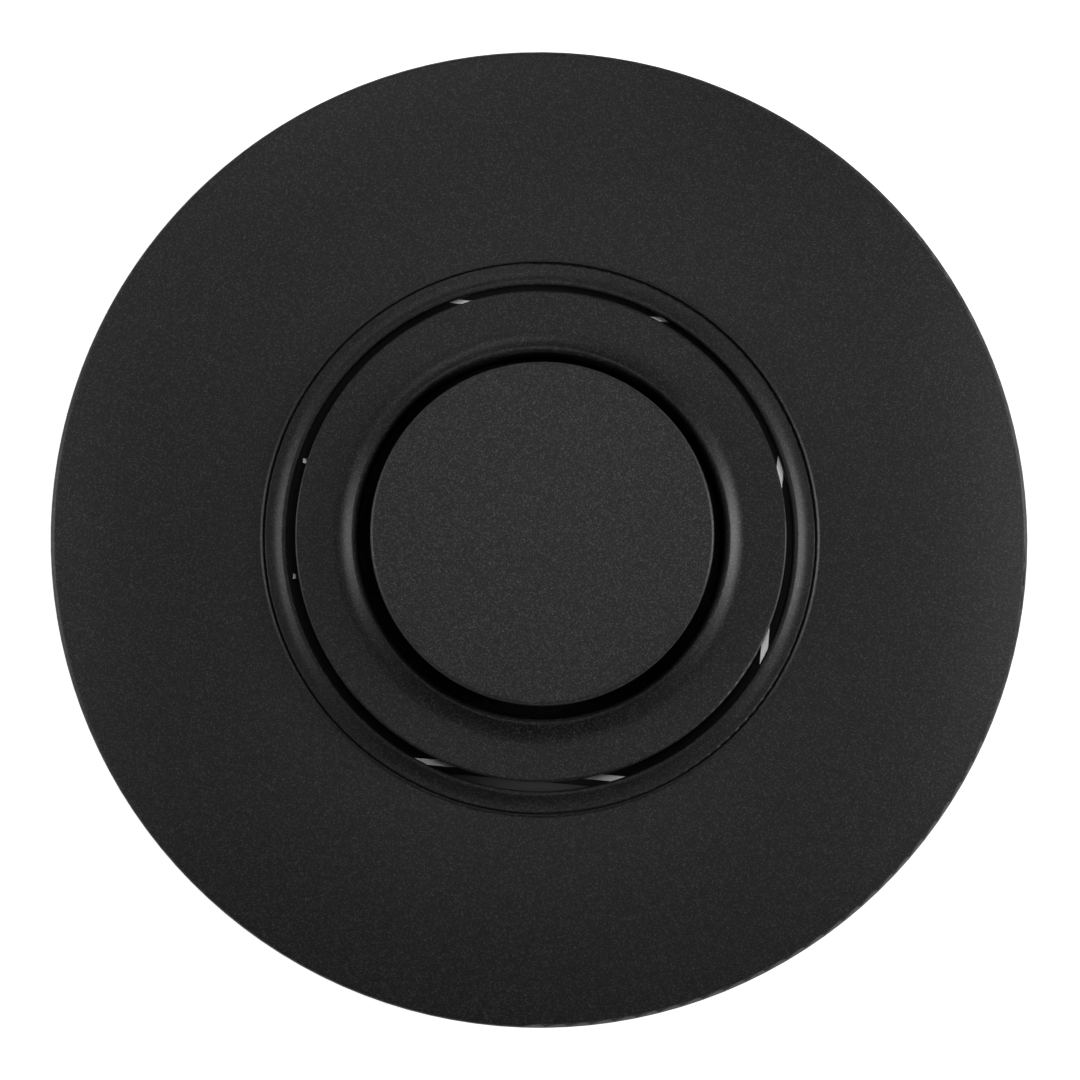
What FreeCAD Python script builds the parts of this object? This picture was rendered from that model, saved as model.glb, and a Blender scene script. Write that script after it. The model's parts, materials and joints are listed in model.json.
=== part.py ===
import FreeCAD, Part
import math
import os

# Kitchen garbage disposal, standing on its base ring. Millimetres, +Z up.
# The origin is the centre of the base ring, on the surface it stands on.
# The discharge outlet points along +X.

Vec = FreeCAD.Vector
UP = Vec(0, 0, 1)

# Clearances
RUN_GAP = 0.05        # shaft in bush, radial
SLIP_GAP = 0.3        # between pieces that pass each other
SCREW_GAP = 0.1       # screw shank in its hole, radial
AIR_GAP = 0.4         # rotor to stator
TABLE_GAP = 1.3       # turntable to shredder ring

# Base and lower shell
foot_h = 4.0
foot_r_out = 94.0
foot_r_in = 88.0
floor_t = 2.5
base_r = 97.0
base_wall_t = 2.5
base_wall_h = 16.0
base_edge_r = 2.5
shell_r = 100.4
shell_t = 2.0
shell_bottom_z = 9.0
shell_lip_r = 94.4
foam_t = 9.0
wiring_x = -66.0
wiring_y = -16.0
wiring_half_x = 14.0
wiring_half_y = 17.0
screw_sink = 2.0
bottom_screw_circle_r = 46.0
wrench_hole_r = 10.0
entry_r = 11.1
entry_circle_r = 66.0
entry_deg = 150.0
button_r = 6.5
button_circle_r = 77.0
button_deg = -90.0

# Motor
motor_h = 118.0       # underside of the base plate
base_plate_t = 6.0
shaft_r = 8.0
shaft_tail_r = 7.5
shaft_tip_r = 6.0
shaft_bottom_z = 14.0
hex_socket_af = 6.35
hex_socket_depth = 9.0
rotor_r = 34.6
core_h = 40.0
fin_h = 3.0
governor_travel = 2.0
core_bottom_z = 50.0
end_ring_h = 6.0
end_ring_r = 33.0
stator_r = 62.0
winding_h = 15.0
winding_r_in = 38.0
winding_r_out = 50.0
bolt_circle_r = 57.2
through_bolt_r = 2.5
bush_h = 20.0
bush_wall = 5.0
boss_r = 20.0
bell_rim_t = 4.0
bell_floor_t = 4.0
bearing_r = 17.5
bearing_w = 11.0
race_t = 2.6
ball_r = 2.35
ball_count = 9

# Wet end
housing_r = 84.0
housing_t = 4.0
joint_flange_r = 88.0
joint_flange_t = 4.0
housing_foot_r = 93.6
housing_foot_t = 5.0
housing_screw_circle_r = 89.2
outlet_r = 17.5
outlet_margin = 9.5   # from the bore to the base plate, and to the housing's top
outlet_wall = 3.0
outlet_face_x = 96.0
outlet_flange_t = 4.5
outlet_ear_reach = 11.5
outlet_bolt_r = 3.0
outlet_gasket_t = 3.0
outlet_plate_t = 2.5
table_drop = 22.0      # housing top to the turntable's underside
table_r = 63.2
table_t = 2.6
shredder_t = 3.0
shredder_h = 36.0
shredder_flange_w = 5.0
impeller_r = 38.0
impeller_reach = 19.0
impeller_w = 20.0
impeller_t = 5.0
impeller_lug_h = 12.0
container_gasket_t = 1.5
container_h = 80.7
chamber_r = 76.0
chamber_t = 3.0
shoulder_r = 27.0
neck_r_in = 47.6
neck_r_out = 50.4
neck_ledge_r = 45.8
neck_ledge_drop = 16.6
neck_flange_r = 57.6
neck_flange_t = 2.0
inlet_deg = -55.0
inlet_lift = 26.0      # joint to the dishwasher inlet's axis
inlet_r = 11.1
inlet_bore_r = 8.5
inlet_tip_r = 111.0
inlet_step_r = 97.0
band_t = 2.0

# Mount between the sink and the container
cushion_t = 2.4
mount_drop = 22.8     # container top to the mounting plate's underside
plate_t = 2.0
plate_r = 63.5
slots = ((0, 54.5, 1.7), (1, 53.7, 1.1), (3, 53.9, 1.5))     # quarter, reach from the axis, width
slot_half_len = 29.0
rise_reach = 56.3     # where the plate steps up, from the axis
rise_h = 0.8
far_hole_reach = 56.0   # opposite the outlet the plate has two small relief holes in place of a slot
far_hole_w = 0.8
far_hole_start = 12.9
far_hole_end = 14.2
plate_turn_deg = -5.0
screw_reach = 5.9
backup_t = 2.5
fibre_t = 2.0
sink_t = 3.0          # room left for the sink's floor
flange_t = 1.6
flange_r = 57.15
flange_neck_r = 44.45
flange_wall = 1.75
flange_neck_len = 52.2
lip_flare_r = 6.5
lip_width = 4.1
stack_r = 56.5
hook_reach = 50.8
hook_t = 1.6
hook_w = 18.0
hook_foot_r = 57.6
hook_foot_t = 3.4
mount_screw_inset = 4.55
mount_screw_r = 2.5
lock_wall = 2.8
lock_turn_half_deg = 14.0
slip_ring_t = 1.6
snap_ring_h = 2.5

# Stopper
stopper_groove_w = 2.76
stopper_rise = 13.5   # above the flange's flat face
stopper_wall = 3.0
stopper_edge_r = 0.8
stopper_crown = 1.2
stopper_rim_h = 2.4
stopper_undercut = 1.4
stopper_ledge_drop = 29.5
seal_h = 5.0

# Top cover and collar
flange_above_rim = 15.0
cover_r = 113.8
cover_t = 2.2
cover_edge_r = 1.2
cover_skirt_h = 6.0
cover_draft = 1.0
cover_bead_h = 0.25
cover_bead_w = 0.8
dome_r = 198.0
collar_r = 64.2
collar_bore_r = 59.0
collar_gap = 0.15
collar_flare_r = 5.0
collar_edge_r = 0.55
collar_seat_drop = 1.3
collar_crest_w = 1.3
cover_bore_r = 60.0
upper_shell_t = 2.0
bowl_r = 94.0

# Sizes that follow others
housing_h = 2 * (outlet_r + outlet_margin)
outlet_bolt_pitch = 2 * (outlet_r + outlet_ear_reach)
flange_bore_r = flange_neck_r - flange_wall
stopper_r = flange_bore_r - stopper_groove_w
mount_screw_circle_r = flange_neck_r + mount_screw_inset
upper_shell_r = cover_r - cover_t - 0.1

# Levels, from the base up
floor_z = foot_h
floor_top_z = floor_z + floor_t
core_top_z = core_bottom_z + core_h
plate_top_z = motor_h + base_plate_t
housing_top_z = plate_top_z + housing_h
outlet_z = plate_top_z + outlet_r + outlet_margin
table_z = housing_top_z - table_drop
container_z = housing_top_z + container_gasket_t
inlet_z = container_z + inlet_lift
container_top_z = container_z + container_h
mount_z = container_top_z + mount_drop
mount_top_z = mount_z + plate_t
backup_z = mount_top_z + screw_reach
fibre_z = backup_z + backup_t
sink_z = fibre_z + fibre_t
flange_z = sink_z + sink_t
flange_top_z = flange_z + flange_t
rim_z = flange_top_z - flange_above_rim
shell_top_z = rim_z - 2.6
stopper_top_z = flange_top_z + stopper_rise
bearing_z = shaft_bottom_z
shredder_r = table_r + TABLE_GAP
ledge_z = container_top_z - neck_ledge_drop
flange_bottom_z = flange_top_z - flange_neck_len - flange_t
inlet_rib_z = container_z + joint_flange_t + 2.1
shell_seat_z = inlet_rib_z + 2.0


def polar(radius, deg):
    return radius * math.cos(math.radians(deg)), radius * math.sin(math.radians(deg))


entry_x, entry_y = polar(entry_circle_r, entry_deg)
button_x, button_y = polar(button_circle_r, button_deg)


def on_arc(centre_x, centre_z, radius, deg):
    dx, dz = polar(radius, deg)
    return centre_x + dx, centre_z + dz


def outline(steps):
    """A face in the XZ plane. (x, z) is a straight run, (xm, zm, x, z) an arc through its first point."""
    edges = []
    start = Vec(steps[0][0], 0, steps[0][1])
    here = start
    for step in list(steps[1:]) + [steps[0]]:
        there = Vec(step[-2], 0, step[-1])
        if len(step) == 4:
            edges.append(Part.Arc(here, Vec(step[0], 0, step[1]), there).toShape())
        elif (there - here).Length > 1e-6:
            edges.append(Part.LineSegment(here, there).toShape())
        here = there
    return Part.Face(Part.Wire(edges))


def turned(*steps):
    """A body of revolution about Z from its (radius, height) outline."""
    solid = outline(steps).revolve(Vec(0, 0, 0), UP, 360)
    if solid.Volume < 0:
        solid.reverse()
    return solid


def disc(radius, z0, z1, x=0.0, y=0.0):
    return Part.makeCylinder(radius, z1 - z0, Vec(x, y, z0))


def ring(r_out, r_in, z0, z1, x=0.0, y=0.0):
    return disc(r_out, z0, z1, x, y).cut(disc(r_in, z0 - 1, z1 + 1, x, y))


def box(x0, x1, y0, y1, z0, z1):
    return Part.makeBox(x1 - x0, y1 - y0, z1 - z0, Vec(x0, y0, z0))


def rod_x(radius, x0, x1, y, z):
    return Part.makeCylinder(radius, x1 - x0, Vec(x0, y, z), Vec(1, 0, 0))


def turn(shape, deg):
    copy = shape.copy()
    copy.rotate(Vec(0, 0, 0), UP, deg)
    return copy


def round_copies(shape, count, first_deg=0.0):
    return [turn(shape, first_deg + i * 360.0 / count) for i in range(count)]


def sector(r_out, r_in, z0, z1, mid_deg, half_deg):
    wedge = Part.makeCylinder(r_out, z1 - z0, Vec(0, 0, z0), UP, 2 * half_deg)
    return turn(wedge.cut(disc(r_in, z0 - 1, z1 + 1)), mid_deg - half_deg)


def joined(shapes):
    return shapes[0].multiFuse(list(shapes[1:])).removeSplitter()


def hexagon(across_flats, z0, z1, x=0.0, y=0.0):
    corner_r = across_flats / math.sqrt(3)
    points = [Vec(x + polar(corner_r, 60 * i)[0], y + polar(corner_r, 60 * i)[1], z0) for i in range(7)]
    return Part.Face(Part.makePolygon(points)).extrude(Vec(0, 0, z1 - z0))


def capscrew(head_r, head_h, shank_r, z_head, z_tip, x, y):
    """A screw along Z whose head stands at z_head, and which points at z_tip."""
    up = 1 if z_tip > z_head else -1
    head_top = z_head + up * head_h
    socket_top = z_head + up * head_h / 2
    head = disc(head_r, min(z_head, head_top), max(z_head, head_top), x, y)
    shank = disc(shank_r, min(z_head, z_tip), max(z_head, z_tip), x, y)
    socket = hexagon(head_r, min(z_head, socket_top), max(z_head, socket_top), x, y)
    return head.fuse(shank).cut(socket).removeSplitter()


def write(name, *shapes):
    solids = [solid for shape in shapes for solid in shape.Solids]
    result = solids[0] if len(solids) == 1 else Part.makeCompound(solids)
    result.exportStep("parts/" + name + ".step")


# ---------------------------------------------------------------- stopper
def stopper():
    ledge_top = flange_top_z - stopper_ledge_drop
    skirt_z = ledge_top + 0.1
    seal_z = skirt_z + 5.4
    shoulder_z = seal_z + seal_h
    foot_r = flange_bore_r - 0.6
    inner_r = stopper_r - stopper_wall
    groove_r = stopper_r - 1.0
    edge_x = stopper_r - stopper_edge_r
    rim_top = stopper_top_z - stopper_crown
    edge_z = rim_top - stopper_edge_r
    neck_r = stopper_r - stopper_undercut
    cap = turned(
        (0, stopper_top_z), (edge_x / 2, stopper_top_z - stopper_crown / 4, edge_x, rim_top),
        (*on_arc(edge_x, edge_z, stopper_edge_r, 45), stopper_r, edge_z),
        (stopper_r, edge_z - stopper_rim_h), (neck_r, edge_z - stopper_rim_h - 0.6),
        (neck_r, shoulder_z + 2 + foot_r - neck_r), (foot_r, shoulder_z + 2), (foot_r, shoulder_z),
        (groove_r, shoulder_z), (groove_r, seal_z), (foot_r, seal_z), (foot_r, skirt_z),
        (inner_r, skirt_z), (inner_r, rim_top - stopper_wall), (0, rim_top - stopper_wall),
    )
    rib = box(-inner_r - 0.5, inner_r + 0.5, -1.0, 1.0, skirt_z + 12, rim_top - 1.5)
    cap = joined([cap, rib, turn(rib, 90)])
    write("stopper_cap", cap)
    lip_r = flange_bore_r - SLIP_GAP
    seal = turned(
        (groove_r + 0.05, seal_z + 0.05), (lip_r - 1.2, seal_z + 0.05),
        (lip_r, seal_z + 0.9, lip_r - 1.0, seal_z + seal_h / 2 - 0.1),
        (lip_r - 1.0, seal_z + seal_h / 2 + 0.1),
        (lip_r, seal_z + seal_h - 0.9, lip_r - 1.2, seal_z + seal_h - 0.05),
        (groove_r + 0.05, seal_z + seal_h - 0.05),
    )
    write("stopper_seal", seal)


# ---------------------------------------------------------------- sink flange and its clamp stack
def snap_groove_z():
    return mount_z - snap_ring_h - 0.1


def sink_flange():
    edge = 0.5
    lip_z = flange_top_z + lip_flare_r
    flat_r = flange_neck_r - 0.1 + lip_width
    sweep = math.degrees(math.asin(lip_width / lip_flare_r))
    crest = on_arc(flat_r, lip_z, lip_flare_r, -90 - sweep)
    crest_mid = on_arc(flat_r, lip_z, lip_flare_r, -90 - sweep / 2)
    slope = math.radians(sweep)
    lip_edge_r = (crest[0] - flange_bore_r) / (1 + math.sin(slope))
    lip_edge = (flange_bore_r + lip_edge_r, crest[1] - lip_edge_r * math.cos(slope))
    top_mid = on_arc(*lip_edge, lip_edge_r, (270 - sweep) / 2)
    edge_mid = on_arc(flange_r - edge, flange_top_z - edge, edge, 45)
    ledge_top = flange_top_z - stopper_ledge_drop
    ledge_r = flange_bore_r - 1.6
    groove_z = snap_groove_z()
    flange = turned(
        (flange_neck_r, flange_z), (flange_r - 0.3, flange_z), (flange_r, flange_z + 0.3),
        (flange_r, flange_top_z - edge), (*edge_mid, flange_r - edge, flange_top_z),
        (flat_r, flange_top_z), (*crest_mid, *crest), (*top_mid, flange_bore_r, lip_edge[1]),
        (flange_bore_r, ledge_top), (ledge_r, ledge_top), (ledge_r, ledge_top - 0.8),
        (flange_bore_r, ledge_top - 2.4), (flange_bore_r, flange_bottom_z),
        (flange_neck_r, flange_bottom_z), (flange_neck_r, groove_z),
        (flange_neck_r - 0.5, groove_z), (flange_neck_r - 0.5, mount_z - 0.05),
        (flange_neck_r, mount_z - 0.05),
    )
    write("sink_flange", flange)


def clamp_stack():
    inner = flange_neck_r + SLIP_GAP
    write("fibre_gasket", ring(stack_r, inner, fibre_z, sink_z))
    backup = turned(
        (inner, backup_z), (stack_r - 0.6, backup_z), (stack_r, backup_z + 0.6),
        (stack_r, fibre_z), (inner, fibre_z),
    )
    write("backup_ring", backup)
    snap = ring(flange_neck_r + 1.9, flange_neck_r - 0.45, snap_groove_z() + 0.05, mount_z - 0.05)
    snap = snap.cut(sector(flange_neck_r + 5, flange_neck_r - 2, mount_z - 9, mount_z + 1, 62, 9))
    write("snap_ring", snap)


def screw_places():
    return [polar(mount_screw_circle_r, plate_turn_deg + 45 + 90 * i) for i in range(4)]


def mounting_plate():
    plate = ring(plate_r, flange_neck_r + SLIP_GAP, mount_z, mount_top_z)
    rise = disc(plate_r, mount_top_z - 0.5, mount_top_z + rise_h)
    rise = rise.common(box(rise_reach, plate_r + 1, -plate_r, plate_r, mount_z, mount_top_z + 5))
    hook = box(hook_reach, hook_reach + hook_t, -hook_w / 2, hook_w / 2, hook_foot_z(), mount_z + 0.5)
    foot_half = math.degrees(math.asin(hook_w / 2 / hook_reach))
    foot = sector(hook_foot_r, hook_reach, hook_foot_z(), hook_foot_z() + hook_foot_t, 0, foot_half)
    plate = joined([plate, turn(rise, plate_turn_deg - 90)])
    for quarter, reach, width in slots:
        slot = box(reach - width / 2, reach + width / 2, -slot_half_len, slot_half_len,
                   mount_z - 1, mount_top_z + 2)
        plate = plate.cut(turn(slot, plate_turn_deg + 90 * quarter))
    for y in (-far_hole_end, far_hole_start):
        hole = box(far_hole_reach - far_hole_w / 2, far_hole_reach + far_hole_w / 2, y,
                   y + far_hole_end - far_hole_start, mount_z - 1, mount_top_z + 2)
        plate = plate.cut(turn(hole, plate_turn_deg + 180))
    for x, y in screw_places():
        plate = plate.cut(disc(mount_screw_r + SCREW_GAP, mount_z - 1, mount_top_z + 1, x, y))
    plate = joined([plate] + round_copies(hook, 4, plate_turn_deg) + round_copies(foot, 4, plate_turn_deg))
    write("upper_mounting_plate", plate)
    head_z = hook_foot_z() + 1.5
    screws = [capscrew(4.0, 3.5, mount_screw_r, head_z, backup_z, x, y) for x, y in screw_places()]
    write("mounting_screws", *screws)
    slip = ring(plate_r - 1.0, hook_reach + hook_t + 1.6, mount_z - slip_ring_t, mount_z)
    write("slip_ring", slip)


def hook_foot_z():
    return container_top_z + cushion_t + 1.9


def lock_ring():
    wall_in = hook_foot_r + 0.6
    wall_out = wall_in + lock_wall
    top = mount_z - slip_ring_t - 0.2
    lip_top = container_top_z - neck_flange_t - 0.2
    lip_z = lip_top - 2.4
    ledge_bottom = hook_foot_z() + hook_foot_t + 0.1
    ledge_r = hook_reach + hook_t + 1.4
    ledge = sector(wall_in + 0.5, ledge_r, ledge_bottom, ledge_bottom + 2, 0, lock_turn_half_deg)
    lug = box(wall_out - 1, wall_out + 6.5, -5, 5, lip_top + 2, lip_top + 13)
    lug_hole = Part.makeCylinder(2.6, 20, Vec(wall_out + 3.4, -10, lip_top + 7.5), Vec(0, 1, 0))
    lug = lug.cut(lug_hole)
    body = ring(wall_out, wall_in, lip_z, top)
    lip = ring(wall_in + 0.5, neck_r_out + 2.6, lip_z, lip_top)
    parts = [body, lip] + round_copies(ledge, 4, plate_turn_deg) + round_copies(lug, 4, plate_turn_deg + 45)
    write("lock_ring", joined(parts))


def cushion_and_guard():
    inner = flange_neck_r + SLIP_GAP
    outer = neck_r_in - SLIP_GAP
    top = container_top_z + cushion_t
    bottom = flange_bottom_z + 0.6
    cushion = turned(
        (inner, bottom), (outer, bottom), (outer, container_top_z),
        (neck_flange_r - 0.4, container_top_z), (neck_flange_r - 0.4, top - 0.6),
        (neck_flange_r - 1.0, top), (inner, top),
    )
    write("mounting_cushion", cushion)
    rim_top = flange_bottom_z - 0.2
    hole_r = 11.0
    web_r = flange_bore_r - 3.2
    rib_r = neck_ledge_r - 1.0
    guard = turned(
        (outer, ledge_z), (outer, rim_top), (web_r + 1.0, rim_top), (web_r, rim_top - 0.8),
        (hole_r, rim_top - 7.0), (hole_r, rim_top - 8.6), (web_r - 0.5, ledge_z - 0.6),
        (rib_r, ledge_z - 0.6), (rib_r, ledge_z),
    )
    slit = box(hole_r - 4, web_r - 2.0, -0.4, 0.4, rim_top - 12, rim_top + 1)
    for one_slit in round_copies(slit, 8, 11.25):
        guard = guard.cut(one_slit)
    write("splash_guard", guard)


# ---------------------------------------------------------------- top cover, collar, upper shell
def dome_centre():
    inner_r = collar_r + collar_gap
    return inner_r, rim_z - math.sqrt(dome_r ** 2 - (cover_r - inner_r) ** 2)


def dome_z(radius, drop=0.0):
    centre_r, centre_z = dome_centre()
    return centre_z + math.sqrt((dome_r - drop) ** 2 - (radius - centre_r) ** 2)


def top_cover():
    seat_r, centre_z = dome_centre()
    edge = cover_edge_r
    edge_x = cover_r - edge
    edge_z = centre_z + math.sqrt((dome_r - edge) ** 2 - (edge_x - seat_r) ** 2)
    lean = math.degrees(math.atan2(edge_z - centre_z, edge_x - seat_r))
    touch = on_arc(seat_r, centre_z, dome_r, lean)
    edge_mid = on_arc(edge_x, edge_z, edge, lean / 2)
    seat_z = dome_z(seat_r) - collar_seat_drop
    under_z = seat_z - cover_t
    bead_r = seat_r + cover_bead_w
    bead_top = dome_z(seat_r) + cover_bead_h
    lead = 0.3
    lead_mid = on_arc(seat_r + lead, bead_top - lead, lead, 135)
    step_r = seat_r + 3.0
    skirt_r = cover_r - cover_t
    skirt_z = edge_z - cover_skirt_h
    dome_mid = (seat_r + cover_r) / 2
    cover = turned(
        (cover_bore_r, seat_z), (seat_r, seat_z), (seat_r, bead_top - lead),
        (*lead_mid, seat_r + lead, bead_top), (bead_r, dome_z(bead_r)),
        (dome_mid, dome_z(dome_mid), *touch), (*edge_mid, cover_r, edge_z),
        (cover_r - cover_draft, skirt_z), (skirt_r, skirt_z), (skirt_r, dome_z(skirt_r, cover_t)),
        (dome_mid, dome_z(dome_mid, cover_t), step_r, dome_z(step_r, cover_t)),
        (step_r, under_z), (cover_bore_r, under_z),
    )
    ribs = []
    for deg in range(12):
        web = outline([
            (step_r - 1, under_z), (step_r - 1, dome_z(step_r, 1.0)), (dome_mid, dome_z(dome_mid, 1.0)),
            (skirt_r + 0.5, dome_z(skirt_r, 1.0) - 0.4), (skirt_r + 0.5, shell_top_z + 0.2),
            (skirt_r - 4, shell_top_z + 0.2),
        ]).extrude(Vec(0, 1.6, 0))
        web.translate(Vec(0, -0.8, 0))
        ribs.append(turn(web, 15 + 30 * deg))
    write("top_cover", joined([cover] + ribs))


def trim_collar():
    seat_r = collar_r + collar_gap
    seat_z = dome_z(seat_r) - collar_seat_drop
    edge = collar_edge_r
    top = dome_z(seat_r)
    edge_mid = on_arc(collar_r - edge, top - edge, edge, 45)
    flat_r = collar_r - edge - 0.2
    crest_r = collar_bore_r + collar_crest_w
    sweep = math.degrees(math.asin((flat_r - crest_r) / collar_flare_r))
    flare_mid = on_arc(flat_r, top + collar_flare_r, collar_flare_r, -90 - sweep / 2)
    crest = on_arc(flat_r, top + collar_flare_r, collar_flare_r, -90 - sweep)
    round_r = 0.6
    round_x = crest[0] - round_r * math.sin(math.radians(sweep))
    crest_top = crest[1] + round_r * (1 - math.cos(math.radians(sweep)))
    crest_mid = on_arc(round_x, crest_top - round_r, round_r, 90 - sweep / 2)
    bore_mid = on_arc(collar_bore_r + 0.4, crest_top - 0.4, 0.4, 135)
    inner_z = mount_top_z + rise_h + 0.7
    wall_r = cover_bore_r - 0.15
    collar = turned(
        (wall_r, seat_z), (collar_r, seat_z), (collar_r, top - edge), (*edge_mid, collar_r - edge, top),
        (flat_r, top), (*flare_mid, *crest), (*crest_mid, round_x, crest_top),
        (collar_bore_r + 0.4, crest_top), (*bore_mid, collar_bore_r, crest_top - 0.4),
        (collar_bore_r, inner_z), (wall_r, inner_z),
    )
    write("trim_collar", collar)


def bowl_centre():
    return upper_shell_r - bowl_r, rim_z - 28.0


def bowl_x(z, drop=0.0):
    centre_x, centre_z = bowl_centre()
    return centre_x + math.sqrt((bowl_r - drop) ** 2 - (z - centre_z) ** 2)


def inlet_rod(radius, start, end):
    rod = Part.makeCylinder(radius, end - start, Vec(start, 0, inlet_z), Vec(1, 0, 0))
    return turn(rod, inlet_deg)


def upper_shell():
    centre_x, centre_z = bowl_centre()
    low_z = shell_seat_z + 2.5
    top = shell_top_z
    mid_z = (low_z + centre_z) / 2
    lip_r = chamber_r + SLIP_GAP
    inner = upper_shell_t
    shell = turned(
        (lip_r, shell_seat_z), (bowl_x(low_z) - 2.0, shell_seat_z),
        (bowl_x(low_z), low_z), (bowl_x(mid_z), mid_z, upper_shell_r, centre_z),
        (upper_shell_r, top), (upper_shell_r - inner, top), (upper_shell_r - inner, centre_z),
        (bowl_x(mid_z, inner), mid_z, bowl_x(low_z, inner), low_z), (lip_r, low_z),
    )
    shell = shell.cut(inlet_rod(inlet_r + 3.6, chamber_r - 6, cover_r + 10))
    write("upper_shell", shell)
    gap = upper_shell_t + SLIP_GAP
    foam_low = low_z + 4.0
    foam_mid = (foam_low + centre_z) / 2
    shoulder_z = container_top_z - neck_ledge_drop - shoulder_r
    foam = turned(
        (chamber_r + 1, foam_low), (bowl_x(foam_low, gap), foam_low),
        (bowl_x(foam_mid, gap), foam_mid, upper_shell_r - gap, centre_z),
        (chamber_r - 4, centre_z), (chamber_r - 4, shoulder_z + shoulder_r - 4), (chamber_r + 1, shoulder_z),
    )
    foam = foam.cut(inlet_rod(inlet_r + 4.6, chamber_r - 6, cover_r + 10))
    write("upper_foam", foam)


# ---------------------------------------------------------------- grinding chamber
def grind_container():
    centre_r = chamber_r - shoulder_r
    centre_z = container_top_z - neck_ledge_drop - shoulder_r - 2.6
    inner_r = chamber_r - chamber_t
    inner_shoulder = shoulder_r - chamber_t
    neck_low = centre_z + math.sqrt(shoulder_r ** 2 - (neck_r_out - centre_r) ** 2)
    roof_z = centre_z + math.sqrt(inner_shoulder ** 2 - (neck_ledge_r - centre_r) ** 2)
    body = turned(
        (neck_r_in, container_top_z), (neck_r_in, ledge_z), (neck_ledge_r, ledge_z), (neck_ledge_r, roof_z),
        (*on_arc(centre_r, centre_z, inner_shoulder, 45), inner_r, centre_z),
        (inner_r, container_z), (joint_flange_r, container_z), (joint_flange_r, container_z + joint_flange_t),
        (chamber_r, container_z + joint_flange_t), (chamber_r, inlet_rib_z), (chamber_r + 4, inlet_rib_z),
        (chamber_r + 4, shell_seat_z), (chamber_r, shell_seat_z), (chamber_r, centre_z),
        (*on_arc(centre_r, centre_z, shoulder_r, 45), neck_r_out, neck_low),
        (neck_r_out, container_top_z - neck_flange_t), (neck_flange_r, container_top_z - neck_flange_t),
        (neck_flange_r, container_top_z),
    )
    body = body.cut(inlet_rod(inlet_r + 0.5 + SCREW_GAP, inner_r - 6, chamber_r + 6))
    write("grind_container", body)


def dishwasher_inlet():
    foot = inlet_rod(inlet_r + 0.5, chamber_r - chamber_t + 0.5, inlet_step_r)
    nipple = inlet_rod(inlet_r, inlet_step_r, inlet_tip_r)
    collar = inlet_rod(inlet_r + 2.4, chamber_r + 0.6, chamber_r + 2.6)
    bore = inlet_rod(inlet_bore_r, chamber_r - chamber_t - 5, inlet_tip_r + 1)
    tube = joined([foot, nipple, collar]).cut(bore)
    write("dishwasher_inlet", tube)
    plug = inlet_rod(inlet_bore_r - 0.05, chamber_r + 0.6, chamber_r + 3.6)
    plug = plug.cut(inlet_rod(inlet_bore_r - 2.0, chamber_r + 2.0, chamber_r + 4))
    write("inlet_plug", plug)


def shredder_ring():
    low = housing_top_z + 2.4 + 6 - shredder_h
    r_out = shredder_r + shredder_t
    body = turned(
        (shredder_r, low), (r_out, low), (r_out, housing_top_z),
        (r_out + shredder_flange_w, housing_top_z), (r_out + shredder_flange_w, housing_top_z + 2.4),
        (r_out, housing_top_z + 2.4), (r_out, low + shredder_h), (shredder_r, low + shredder_h),
    )
    slot = box(shredder_r - 3, r_out + 3, -1.6, 1.6, table_z - 4.0, table_z + 5.0)
    for one_slot in round_copies(slot, 24, 7.5):
        body = body.cut(one_slot)
    notch = box(shredder_r - 3, shredder_r + 1.2, -2.5, 2.5, table_z + 9.0, table_z + 18.0)
    for one_notch in round_copies(notch, 12):
        body = body.cut(one_notch)
    write("shredder_ring", body)


def turntable():
    top = table_z + table_t
    hub_z = table_z - 8.0
    body = turned(
        (shaft_tip_r, hub_z), (14.0, hub_z), (16.0, table_z), (table_r - 2.5, table_z),
        (table_r - 2.5, table_z - 4.0), (table_r, table_z - 4.0), (table_r, top - 0.8),
        (table_r - 0.8, top), (18.0, top), (12.0, top + 2.2), (shaft_tip_r, top + 2.2),
    )
    for x, y in (polar(impeller_r, deg) for deg in (0, 180)):
        body = body.cut(disc(4.0 + SCREW_GAP, table_z - 1, top + 1, x, y))
    hole = disc(3.0, table_z - 1, top + 1, 50.0)
    for one_hole in round_copies(hole, 6, 30.0):
        body = body.cut(one_hole)
    write("turntable", body)
    nut = hexagon(19.0, top + 2.2, top + 9.0).cut(disc(shaft_tip_r, top, top + 10))
    nut = nut.common(turned((0, top), (10.6, top), (10.6, top + 7.8), (9.2, top + 9.0), (0, top + 9.0)))
    write("turntable_nut", nut)


def impeller(side):
    top = table_z + table_t
    base_z = top + 0.2
    x = side * impeller_r
    arm = box(-impeller_w / 2, impeller_w / 2, -impeller_reach + 9, impeller_reach - 1,
              base_z, base_z + impeller_t)
    arm = arm.makeFillet(4.0, [e for e in arm.Edges if abs(e.Vertexes[0].Z - e.Vertexes[1].Z) > 1])
    lug = box(-impeller_w / 2 + 3, impeller_w / 2 - 3, impeller_reach - 9, impeller_reach - 3,
              base_z + impeller_t - 1, base_z + impeller_lug_h)
    lug = lug.makeFillet(2.0, [e for e in lug.Edges if abs(e.Vertexes[0].Z - e.Vertexes[1].Z) > 1])
    body = joined([arm, lug]).cut(disc(4.0 + RUN_GAP, base_z - 1, base_z + 20))
    body.rotate(Vec(0, 0, 0), UP, 90 if side > 0 else -90)
    body.translate(Vec(x, 0, 0))
    return body


def impellers():
    write("impeller_a", impeller(1))
    write("impeller_b", impeller(-1))
    top = table_z + table_t
    rivets = []
    for x, y in (polar(impeller_r, deg) for deg in (0, 180)):
        rivet = disc(4.0, table_z - 1.6, top + impeller_t + 0.4, x, y)
        head = disc(6.0, table_z - 2.4, table_z, x, y)
        cap = disc(6.0, top + impeller_t + 0.4, top + impeller_t + 2.4, x, y)
        rivets.append(joined([rivet, head, cap]))
    write("impeller_rivets", *rivets)


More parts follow.
